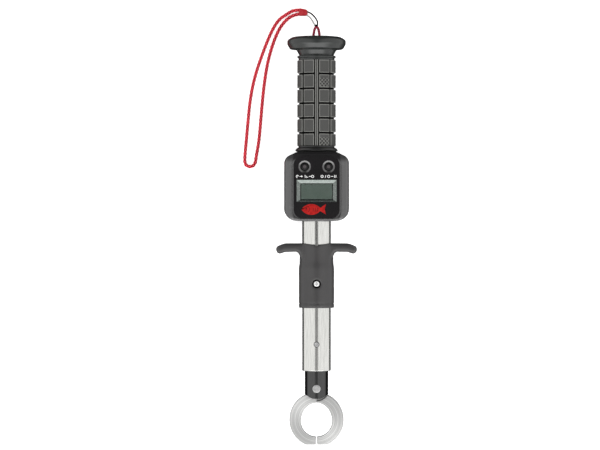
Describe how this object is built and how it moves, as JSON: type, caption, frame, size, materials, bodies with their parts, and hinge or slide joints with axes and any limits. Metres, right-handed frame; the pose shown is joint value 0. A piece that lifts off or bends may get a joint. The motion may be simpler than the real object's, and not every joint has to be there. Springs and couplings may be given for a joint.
{
  "type": "digital fish scale",
  "caption": "Lip-grip fish scale: a handled housing with a display and buttons, a steel tube with a sliding winged trigger, pivoting ring jaws and a wrist lanyard.",
  "frame": {"origin": "middle of the tool's length, on the table that its back lies on, under the tube's axis", "axes": "+X to the right seen from the front, +Y along the tool from the jaws to the butt, +Z out of the display"},
  "size_m": [0.0802, 0.3067, 0.041],
  "materials": {
    "grip_rubber": "matte",
    "black_plastic": "satin",
    "grey_plastic": "satin",
    "panel_gloss": "gloss",
    "bezel_plastic": "satin",
    "window_clear": "gloss",
    "lcd_glass": "satin",
    "board_green": "satin",
    "chip_black": "matte",
    "inner_steel": "satin",
    "tube_steel": "polished",
    "jaw_steel": "satin",
    "cell_metal": "satin",
    "clevis_black": "gloss",
    "brass_parts": "satin",
    "nylon": "matte",
    "gasket_rubber": "matte",
    "cord_red": "matte",
    "crimp_red": "gloss",
    "string_black": "matte",
    "string_grey": "matte"
  },
  "bodies": {
    "handle": {"butt_cap": "black_plastic", "handle_core": "inner_steel", "grip_sleeve": "grip_rubber", "grip_collar": "black_plastic", "housing_front": "grey_plastic", "housing_back": "grey_plastic", "housing_gasket": "gasket_rubber", "housing_screw_1": "inner_steel", "housing_screw_2": "inner_steel", "housing_screw_3": "inner_steel", "housing_screw_4": "inner_steel", "coin_cell_1": "cell_metal", "coin_cell_2": "cell_metal", "contact_plate": "brass_parts", "contact_side": "brass_parts", "front_panel": "panel_gloss", "lcd_bezel": "bezel_plastic", "lcd_window": "window_clear", "lcd_module": "lcd_glass", "circuit_board": "board_green", "controller_chip": "chip_black", "unit_switch": "chip_black", "zero_switch": "chip_black", "unit_button_ring": "grey_plastic", "zero_button_ring": "grey_plastic", "load_cell": "cell_metal", "load_cell_bolt": "inner_steel", "swivel_stud": "inner_steel", "lanyard_cord": "cord_red", "lanyard_crimp": "crimp_red", "string_black": "string_black", "string_grey": "string_grey", "string_knot": "string_black", "anchor_loop": "cord_red"},
    "cover": {"battery_cover": "grey_plastic"},
    "unit_key": {"unit_button": "gasket_rubber"},
    "zero_key": {"zero_button": "gasket_rubber"},
    "head": {"main_tube": "tube_steel", "tube_plug": "inner_steel", "plug_pin_left": "inner_steel", "plug_pin_right": "inner_steel", "thrust_washer": "brass_parts", "spring_seat": "nylon", "return_spring": "inner_steel", "clevis": "clevis_black", "rivet_front": "jaw_steel", "rivet_back": "jaw_steel", "pivot_pin": "jaw_steel"},
    "trigger": {"trigger_collar": "grey_plastic", "trigger_screw_front": "jaw_steel", "trigger_screw_back": "jaw_steel", "trigger_washer_front": "gasket_rubber", "trigger_washer_back": "gasket_rubber", "plunger": "nylon", "drive_pin": "inner_steel"},
    "left_jaw": {"jaw_left": "jaw_steel"},
    "right_jaw": {"jaw_right": "jaw_steel"}
  },
  "joints": [
    {"name": "head_swivel", "type": "hinge", "parent": "handle", "child": "head", "pos_m": [0, 0.02, 0.0205], "axis": [0, 1, 0], "continuous": true},
    {"name": "trigger_slide", "type": "slide", "parent": "head", "child": "trigger", "axis": [0, 1, 0], "range_m": [0, 0.009], "stiffness_N_per_m": 500, "springref_m": -0.01, "deforming": ["return_spring"]},
    {"name": "jaw_left_pivot", "type": "hinge", "parent": "head", "child": "left_jaw", "pos_m": [0, -0.1032, 0.0205], "axis": [0, 0, 1], "range_deg": [-20.05, 0]},
    {"name": "jaw_right_pivot", "type": "hinge", "parent": "head", "child": "right_jaw", "pos_m": [0, -0.1032, 0.0205], "axis": [0, 0, 1], "range_deg": [0, 20.05]},
    {"name": "unit_button_press", "type": "slide", "parent": "handle", "child": "unit_key", "axis": [0, 0, -1], "range_m": [0, 0.0008], "stiffness_N_per_m": 1500, "springref_m": -0.0003},
    {"name": "zero_button_press", "type": "slide", "parent": "handle", "child": "zero_key", "axis": [0, 0, -1], "range_m": [0, 0.0008], "stiffness_N_per_m": 1500, "springref_m": -0.0003},
    {"name": "battery_cover_slide", "type": "slide", "parent": "handle", "child": "cover", "axis": [0, -1, 0], "range_m": [0, 0.006]}
  ],
  "couplings": [
    {"joint": "jaw_left_pivot", "follows": "trigger_slide", "rad_per_m": -38.785},
    {"joint": "jaw_right_pivot", "follows": "trigger_slide", "rad_per_m": 38.785}
  ]
}
